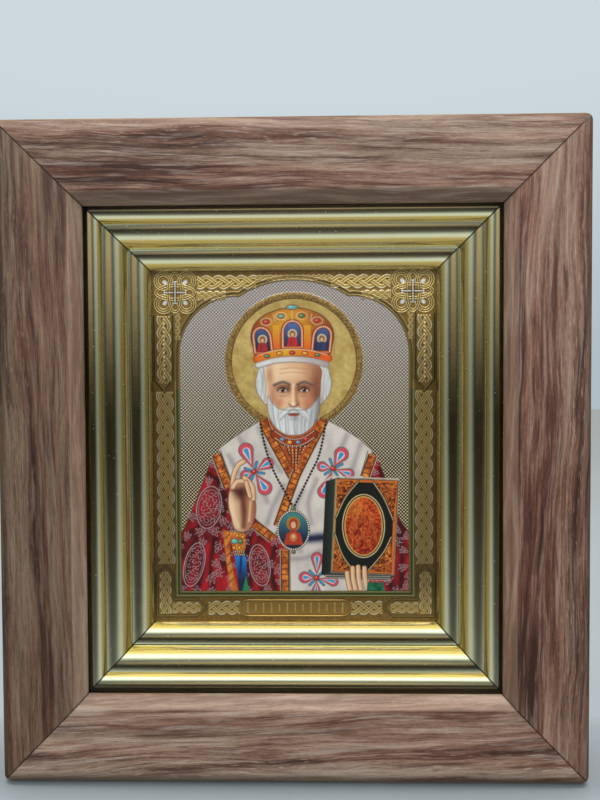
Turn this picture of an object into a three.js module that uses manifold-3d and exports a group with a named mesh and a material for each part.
// A small framed icon: mitred wood frame, three-reed brass-coloured liner, glass pane,
// embossed foil print on card, and a back board.
// Millimetres, +Z up. The picture faces -Y. The origin is under the middle of the frame.
import * as THREE from 'three';
import { mergeVertices } from 'three/addons/utils/BufferGeometryUtils.js';
import Module from 'manifold-3d';

const wasm = await Module();
wasm.setup();

// Outer size of the wood frame
const FRAME_WIDTH = 196;
const FRAME_HEIGHT = 220.6;
const FRAME_DEPTH = 32;
const CORNER_RADIUS = 2.6;
const GAP = 0.3;

// Wood moulding: u runs inward from the outer edge, v runs forward from the back
const ARRIS_RADIUS = 4;
const RAIL_WIDTH_AT_BACK = 19;
const BEVEL_START = { u: 23.6, v: 28.7 };
const LIP = { u: 27.3, top: 25.5, under: 24.6 };

// Glass pane, held between the wood lip and the liner
const PANE_EDGE = RAIL_WIDTH_AT_BACK + GAP;
const PANE_FRONT = LIP.under - GAP;
const PANE_THICKNESS = 1.9;

// Brass-coloured liner: convex reeds between these steps, down to the sight edge
const REED_STEPS = [
  { u: 25.4, v: 21.6 },
  { u: 32.1, v: 19.65 },
  { u: 39.7, v: 15.05 },
  { u: 46.8, v: 11.25 },
];
const REED_RISES = [1.1, 1.5, 1.4];
const SIGHT = REED_STEPS[REED_STEPS.length - 1];
const LINER_FOOT = { u: 42.4, v: 9.2, underSight: 10.4 };

// Print on card, and the board behind it
const CARD_WIDTH = 110;
const CARD_HEIGHT = 134;
const CARD_FRONT = 10.05;
const CARD_THICKNESS = 0.9;
const RELIEF = 0.35;
const BOARD_THICKNESS = 3;
const BOARD_FRONT = CARD_FRONT - CARD_THICKNESS - GAP;

// Layout of the embossing, from the middle of the print: x to the right, y up
const WINDOW = { half: 42, bottom: -52.8, spring: 33.6, notchX: 19.6, notchY: 54.5, top: 60.2 };
const ARCH_LINES = [0.45, 1.75];
const HALO = { y: 31, outer: 25.1, inner: 22.6, covered: 1.25 };
const CORNER_CROSS = { x: 42.9, y: 56, ring: 4.3, ringRadius: 2.3, arm: 4.4, edge: 6.1 };
const SIDE_BRAID = { x: 47.7, top: 17.5, bottom: -42.5, half: 2.7 };
const POINTED_BRAID = { x: 47.1, top: 47.5, shoulder: 24.5, tip: 20.2, half: 3.4 };
const CARTOUCHE = { outer: 50.5, inner: 44.4, tip: -43.4, shoulder: -47, upper: -55.7, lower: -61.9 };
const CARTOUCHE_POINT = { x: 32, y: -58.8, shoulder: 36 };
const PLAQUE = { half: 20.2, y: -58.9, rise: 2.9 };
const PLAQUE_STROKES = 13;
const TOP_BRAID = { y: 60.2, half: 2.1, start: 13.5, end: 34.8 };
const BRAID_PITCH = 4.9;
const BRAID_STRANDS = 3;
const TWIST_STRANDS = 2;
const STRAND_WIDTH = 0.75;
const LINE_WIDTH = 0.6;

// How finely round stretches are divided
const CURVE_SEGMENTS = 4;
const STEPS_PER_WAVE = 8;
const RING_STEPS = 8;
const HALO_STEPS = 30;
const ARCH_SEGMENTS = 5;
const MERGE_DISTANCE = 1e-3;

const oak = new THREE.MeshStandardMaterial({ color: 0x6e5548, roughness: 0.62, metalness: 0 });
const brass = new THREE.MeshStandardMaterial({ color: 0xb8a35c, roughness: 0.22, metalness: 1 });
const clear = new THREE.MeshStandardMaterial({ color: 0xdfe9e6, roughness: 0.05, metalness: 0 });
const foil = new THREE.MeshStandardMaterial({ color: 0x9a8448, roughness: 0.38, metalness: 0.6 });
const fibre = new THREE.MeshStandardMaterial({ color: 0x8a6a49, roughness: 0.85, metalness: 0 });

// Turns a flat shape, drawn as seen from the front, into a slab that grows towards the viewer
const FACING = new THREE.Matrix4().makeBasis(
  new THREE.Vector3(1, 0, 0),
  new THREE.Vector3(0, 0, 1),
  new THREE.Vector3(0, -1, 0),
);

// Lays a moulding section along the bottom of the frame: u goes up and v goes forward
const ALONG_BOTTOM = new THREE.Matrix4().makeBasis(
  new THREE.Vector3(0, 0, 1),
  new THREE.Vector3(0, -1, 0),
  new THREE.Vector3(1, 0, 0),
);

// A closed geometry as a solid, with shared corners merged and slivers left out
function toSolid(geometry) {
  geometry.deleteAttribute('normal');
  geometry.deleteAttribute('uv');
  const merged = mergeVertices(geometry, MERGE_DISTANCE);
  const vertProperties = new Float32Array(merged.attributes.position.array);
  const corners = Array.from(merged.index.array);
  const triVerts = [];
  for (let i = 0; i < corners.length; i += 3) {
    const triangle = corners.slice(i, i + 3);
    if (new Set(triangle).size === 3) triVerts.push(...triangle);
  }
  const mesh = new wasm.Mesh({ numProp: 3, vertProperties, triVerts: new Uint32Array(triVerts) });
  return new wasm.Manifold(mesh);
}

function toGeometry(solid) {
  const mesh = solid.getMesh();
  const geometry = new THREE.BufferGeometry();
  geometry.setAttribute('position', new THREE.BufferAttribute(new Float32Array(mesh.vertProperties), 3));
  geometry.setIndex(new THREE.BufferAttribute(new Uint32Array(mesh.triVerts), 1));
  geometry.computeVertexNormals();
  return geometry;
}

function slab(shape, back, front, curveSegments = CURVE_SEGMENTS) {
  const geometry = new THREE.ExtrudeGeometry(shape, {
    depth: front - back,
    bevelEnabled: false,
    curveSegments,
  });
  geometry.translate(0, 0, back - FRAME_DEPTH / 2);
  return geometry.applyMatrix4(FACING);
}

function rectangle(width, height) {
  const shape = new THREE.Shape();
  shape.moveTo(-width / 2, -height / 2);
  shape.lineTo(width / 2, -height / 2);
  shape.lineTo(width / 2, height / 2);
  shape.lineTo(-width / 2, height / 2);
  return shape;
}

function roundedRectangle(width, height, radius) {
  const shape = new THREE.Shape();
  const x = width / 2 - radius;
  const y = height / 2 - radius;
  const quarter = Math.PI / 2;
  [[1, -1], [1, 1], [-1, 1], [-1, -1]].forEach(([sx, sy], i) => {
    shape.absarc(sx * x, sy * y, radius, (i - 1) * quarter, i * quarter);
  });
  return shape;
}

// Section of the wood moulding
function railSection() {
  const shape = new THREE.Shape();
  shape.moveTo(0, 0);
  shape.lineTo(RAIL_WIDTH_AT_BACK, 0);
  shape.lineTo(RAIL_WIDTH_AT_BACK, LIP.under);
  shape.lineTo(LIP.u, LIP.under);
  shape.lineTo(LIP.u, LIP.top);
  shape.lineTo(BEVEL_START.u, BEVEL_START.v);
  shape.lineTo(ARRIS_RADIUS, FRAME_DEPTH);
  shape.absarc(ARRIS_RADIUS, FRAME_DEPTH - ARRIS_RADIUS, ARRIS_RADIUS, Math.PI / 2, Math.PI);
  return shape;
}

// A round reed from one step of the liner to the next, bulging by its rise
function addReed(shape, from, to, rise) {
  const run = new THREE.Vector2(to.u - from.u, to.v - from.v);
  const half = run.length() / 2;
  const radius = (half * half + rise * rise) / (2 * rise);
  const inwards = new THREE.Vector2(run.y, -run.x).setLength(radius - rise);
  const centreU = (from.u + to.u) / 2 + inwards.x;
  const centreV = (from.v + to.v) / 2 + inwards.y;
  const startAngle = Math.atan2(from.v - centreV, from.u - centreU);
  const endAngle = Math.atan2(to.v - centreV, to.u - centreU);
  shape.absarc(centreU, centreV, radius, startAngle, endAngle, true);
}

// Section of the liner: a ledge under the glass, the reeds, and a rebate that holds the card
function linerSection() {
  const ledge = REED_STEPS[0];
  const shape = new THREE.Shape();
  shape.moveTo(PANE_EDGE, LINER_FOOT.v);
  shape.lineTo(PANE_EDGE, ledge.v);
  REED_RISES.forEach((rise, i) => addReed(shape, REED_STEPS[i], REED_STEPS[i + 1], rise));
  shape.lineTo(SIGHT.u, LINER_FOOT.underSight);
  shape.lineTo(LINER_FOOT.u, LINER_FOOT.underSight);
  shape.lineTo(LINER_FOOT.u, LINER_FOOT.v);
  return shape;
}

// A length of moulding with both ends mitred, lying along the bottom of a frame of this size
function mitredStrip(section, length, span) {
  const geometry = new THREE.ExtrudeGeometry(section, {
    depth: length,
    bevelEnabled: false,
    curveSegments: CURVE_SEGMENTS,
  });
  const place = geometry.attributes.position;
  for (let i = 0; i < place.count; i++) {
    const trim = place.getX(i) + GAP / Math.SQRT2;
    const atStart = place.getZ(i) < length / 2;
    place.setZ(i, atStart ? trim : length - trim);
  }
  geometry.applyMatrix4(ALONG_BOTTOM);
  return geometry.translate(-length / 2, FRAME_DEPTH / 2, -span / 2);
}

function railGeometry(length, span) {
  const strip = toSolid(mitredStrip(railSection(), length, span));
  const outline = slab(roundedRectangle(length, span, CORNER_RADIUS), -GAP, FRAME_DEPTH + GAP);
  return toGeometry(strip.intersect(toSolid(outline)));
}

function linerGeometry(length, span) {
  return toGeometry(toSolid(mitredStrip(linerSection(), length, span)));
}

// Four strips round the picture, each turned to its own side
function ringOfStrips(name, material, makeGeometry) {
  const ring = new THREE.Group();
  const sides = [
    { side: 'bottom', turn: 0, length: FRAME_WIDTH, span: FRAME_HEIGHT },
    { side: 'left', turn: Math.PI / 2, length: FRAME_HEIGHT, span: FRAME_WIDTH },
    { side: 'top', turn: Math.PI, length: FRAME_WIDTH, span: FRAME_HEIGHT },
    { side: 'right', turn: -Math.PI / 2, length: FRAME_HEIGHT, span: FRAME_WIDTH },
  ];
  for (const { side, turn, length, span } of sides) {
    const mesh = new THREE.Mesh(makeGeometry(length, span), material);
    mesh.name = `${name}_${side}`;
    mesh.rotation.y = turn;
    ring.add(mesh);
  }
  return ring;
}

// Raised work on the card: every piece of it starts just inside the card
function raised(shape, curveSegments) {
  return toSolid(slab(shape, CARD_FRONT - GAP, CARD_FRONT + RELIEF, curveSegments));
}

// A raised line of even width along a run of points, mitred where it turns
function ribbon(points, width) {
  const left = [];
  const right = [];
  points.forEach((point, i) => {
    const before = points[Math.max(i - 1, 0)];
    const after = points[Math.min(i + 1, points.length - 1)];
    const arriving = point.clone().sub(before).normalize();
    const leaving = after.clone().sub(point).normalize();
    const heading = arriving.clone().add(leaving).normalize();
    const ahead = i === 0 ? leaving : arriving;
    const across = new THREE.Vector2(-heading.y, heading.x).multiplyScalar(width / 2 / heading.dot(ahead));
    left.push(point.clone().add(across));
    right.unshift(point.clone().sub(across));
  });
  return raised(new THREE.Shape([...left, ...right]));
}

function line(corners) {
  return ribbon(corners.map(([x, y]) => new THREE.Vector2(x, y)), LINE_WIDTH);
}

function ringBand(x, y, outer, inner, segments) {
  const shape = new THREE.Shape();
  shape.absarc(x, y, outer, 0, 2 * Math.PI);
  const hole = new THREE.Path();
  hole.absarc(x, y, inner, 0, 2 * Math.PI);
  shape.holes.push(hole);
  return raised(shape, segments);
}

// Strands that weave from side to side along a straight run
function braid(from, to, half, strandCount = BRAID_STRANDS) {
  const start = new THREE.Vector2(...from);
  const run = new THREE.Vector2(...to).sub(start);
  const length = run.length();
  const along = run.clone().normalize();
  const across = new THREE.Vector2(-along.y, along.x);
  const wave = BRAID_PITCH * strandCount;
  const steps = Math.ceil((length / wave) * STEPS_PER_WAVE);
  const strands = [];
  for (let strand = 0; strand < strandCount; strand++) {
    const points = [];
    for (let i = 0; i <= steps; i++) {
      const distance = (length * i) / steps;
      const phase = 2 * Math.PI * (distance / wave + strand / strandCount);
      points.push(start.clone().addScaledVector(along, distance)
        .addScaledVector(across, half * Math.sin(phase)));
    }
    strands.push(ribbon(points, STRAND_WIDTH));
  }
  return strands;
}

// Upper point where two circles cross
function crossing(first, firstRadius, second, secondRadius) {
  const between = second.clone().sub(first);
  const distance = between.length();
  const along = (firstRadius ** 2 - secondRadius ** 2 + distance ** 2) / (2 * distance);
  const aside = Math.sqrt(firstRadius ** 2 - along ** 2);
  between.normalize();
  const normal = new THREE.Vector2(-between.y, between.x);
  if (normal.y < 0) normal.negate();
  return first.clone().addScaledVector(between, along).addScaledVector(normal, aside);
}

// Outline of the arched window, grown outward by a margin
function windowOutline(margin) {
  const { half, bottom, spring, notchX, notchY, top } = WINDOW;
  const shoulderRadius = ((half - notchX) ** 2 + (notchY - spring) ** 2) / (2 * (half - notchX));
  const crownRise = top - notchY;
  const crownRadius = (notchX ** 2 + crownRise ** 2) / (2 * crownRise);
  const shoulder = new THREE.Vector2(half - shoulderRadius, spring);
  const crown = new THREE.Vector2(0, top - crownRadius);
  const notch = crossing(shoulder, shoulderRadius + margin, crown, crownRadius + margin);
  const shoulderEnd = notch.clone().sub(shoulder).angle();
  const crownStart = notch.clone().sub(crown).angle();
  const path = new THREE.Shape();
  path.moveTo(-half - margin, bottom - margin);
  path.lineTo(half + margin, bottom - margin);
  path.absarc(shoulder.x, spring, shoulderRadius + margin, 0, shoulderEnd);
  path.absarc(0, crown.y, crownRadius + margin, crownStart, Math.PI - crownStart);
  path.absarc(-shoulder.x, spring, shoulderRadius + margin, Math.PI - shoulderEnd, Math.PI);
  return path;
}

function archLine(margin) {
  const band = windowOutline(margin + LINE_WIDTH);
  band.holes.push(windowOutline(margin));
  return raised(band, ARCH_SEGMENTS);
}

// Rim of the halo, open below where the shoulders cover it
function haloRim() {
  const middle = (HALO.outer + HALO.inner) / 2;
  const points = [];
  for (let i = 0; i <= HALO_STEPS; i++) {
    const turn = (2 * Math.PI - HALO.covered) * (i / HALO_STEPS - 0.5) + Math.PI / 2;
    points.push(new THREE.Vector2(middle * Math.cos(turn), HALO.y + middle * Math.sin(turn)));
  }
  return ribbon(points, HALO.outer - HALO.inner);
}

// A looped square with a plain cross, one in each upper corner
function cornerCross(side) {
  const { y, ring, ringRadius, arm, edge } = CORNER_CROSS;
  const x = side * CORNER_CROSS.x;
  const pieces = [];
  for (const [sx, sy] of [[1, 1], [1, -1], [-1, 1], [-1, -1]]) {
    pieces.push(ringBand(x + sx * ring, y + sy * ring, ringRadius + LINE_WIDTH / 2,
      ringRadius - LINE_WIDTH / 2, RING_STEPS / 2));
  }
  const bow = ring - ringRadius;
  pieces.push(line([[x - bow, y + edge], [x + bow, y + edge]]));
  pieces.push(line([[x - bow, y - edge], [x + bow, y - edge]]));
  pieces.push(line([[x - edge, y - bow], [x - edge, y + bow]]));
  pieces.push(line([[x + edge, y - bow], [x + edge, y + bow]]));
  pieces.push(line([[x - arm, y], [x + arm, y]]));
  pieces.push(line([[x, y - arm], [x, y + arm]]));
  return pieces;
}

// Braid under each cross, with its outline drawn to a point
function pointedBraid(side) {
  const { top, shoulder, tip, half } = POINTED_BRAID;
  const x = side * POINTED_BRAID.x;
  const outline = [[x - half, top], [x - half, shoulder], [x, tip], [x + half, shoulder], [x + half, top]];
  const clear = half - STRAND_WIDTH - LINE_WIDTH;
  return [
    line(outline),
    ...braid([x, top], [x, shoulder], clear, TWIST_STRANDS),
  ];
}

// Corner piece with a point up the side and a point along the bottom
function cartouche(side) {
  const { outer, inner, tip, shoulder, upper, lower } = CARTOUCHE;
  const point = CARTOUCHE_POINT;
  const middle = (outer + inner) / 2;
  const outline = [
    [middle, tip], [outer, shoulder], [outer, lower], [point.shoulder, lower], [point.x, point.y],
    [point.shoulder, upper], [inner, upper], [inner, shoulder], [middle, tip],
  ].map(([x, y]) => [side * x, y]);
  const clear = (outer - inner) / 2 - STRAND_WIDTH - LINE_WIDTH;
  return [
    line(outline),
    ...braid([side * middle, shoulder], [side * middle, lower + LINE_WIDTH], clear, TWIST_STRANDS),
    ...braid([side * inner, point.y], [side * point.shoulder, point.y], clear, TWIST_STRANDS),
  ];
}

// Tablet with a row of plain strokes
function plaque() {
  const { half, y, rise } = PLAQUE;
  const straight = half - rise;
  const pieces = [
    line([[-straight, y + rise], [straight, y + rise]]),
    line([[-straight, y - rise], [straight, y - rise]]),
  ];
  for (const side of [1, -1]) {
    const points = [];
    for (let i = 0; i <= RING_STEPS; i++) {
      const turn = side * Math.PI * (i / RING_STEPS - 0.5);
      points.push(new THREE.Vector2(side * (straight + rise * Math.cos(turn)), y + rise * Math.sin(turn)));
    }
    pieces.push(ribbon(points, LINE_WIDTH));
  }
  for (let i = 0; i < PLAQUE_STROKES; i++) {
    const x = straight * ((2 * i) / (PLAQUE_STROKES - 1) - 1);
    const reach = rise * (i % 3 === 1 ? 0.35 : 0.55);
    pieces.push(line([[x, y - reach], [x, y + reach]]));
  }
  return pieces;
}

// The braids that lie alone in the border, on one side of the middle
function borderBraids(side) {
  const sideX = side * SIDE_BRAID.x;
  const bottomStart = side * (CARTOUCHE_POINT.x + LINE_WIDTH);
  const bottomHalf = PLAQUE.rise - STRAND_WIDTH;
  return [
    ...braid([sideX, SIDE_BRAID.top], [sideX, SIDE_BRAID.bottom], SIDE_BRAID.half),
    ...braid([side * TOP_BRAID.start, TOP_BRAID.y], [side * TOP_BRAID.end, TOP_BRAID.y], TOP_BRAID.half),
    ...braid([bottomStart, PLAQUE.y], [side * PLAQUE.half, PLAQUE.y], bottomHalf, TWIST_STRANDS),
  ];
}

function printGeometry() {
  const cardShape = rectangle(CARD_WIDTH, CARD_HEIGHT);
  const card = toSolid(slab(cardShape, CARD_FRONT - CARD_THICKNESS, CARD_FRONT));
  const relief = [
    ...ARCH_LINES.map(archLine),
    haloRim(),
    ...plaque(),
  ];
  for (const side of [1, -1]) {
    relief.push(...cornerCross(side), ...pointedBraid(side), ...cartouche(side), ...borderBraids(side));
  }
  return toGeometry(relief.reduce((whole, piece) => whole.add(piece), card));
}

function pane(width, height, back, front) {
  return slab(rectangle(width, height), back, front);
}

function named(name, geometry, material) {
  const mesh = new THREE.Mesh(geometry, material);
  mesh.name = name;
  return mesh;
}

const rebateWidth = FRAME_WIDTH - 2 * PANE_EDGE;
const rebateHeight = FRAME_HEIGHT - 2 * PANE_EDGE;

const icon = new THREE.Group();
icon.position.z = FRAME_HEIGHT / 2;
icon.add(
  ringOfStrips('wood_rail', oak, railGeometry),
  ringOfStrips('liner', brass, linerGeometry),
  named('glass_pane', pane(rebateWidth, rebateHeight, PANE_FRONT - PANE_THICKNESS, PANE_FRONT), clear),
  named('icon_print', printGeometry(), foil),
  named('back_board', pane(rebateWidth, rebateHeight, BOARD_FRONT - BOARD_THICKNESS, BOARD_FRONT), fibre),
);

const part = new THREE.Group();
part.add(icon);

export default part;
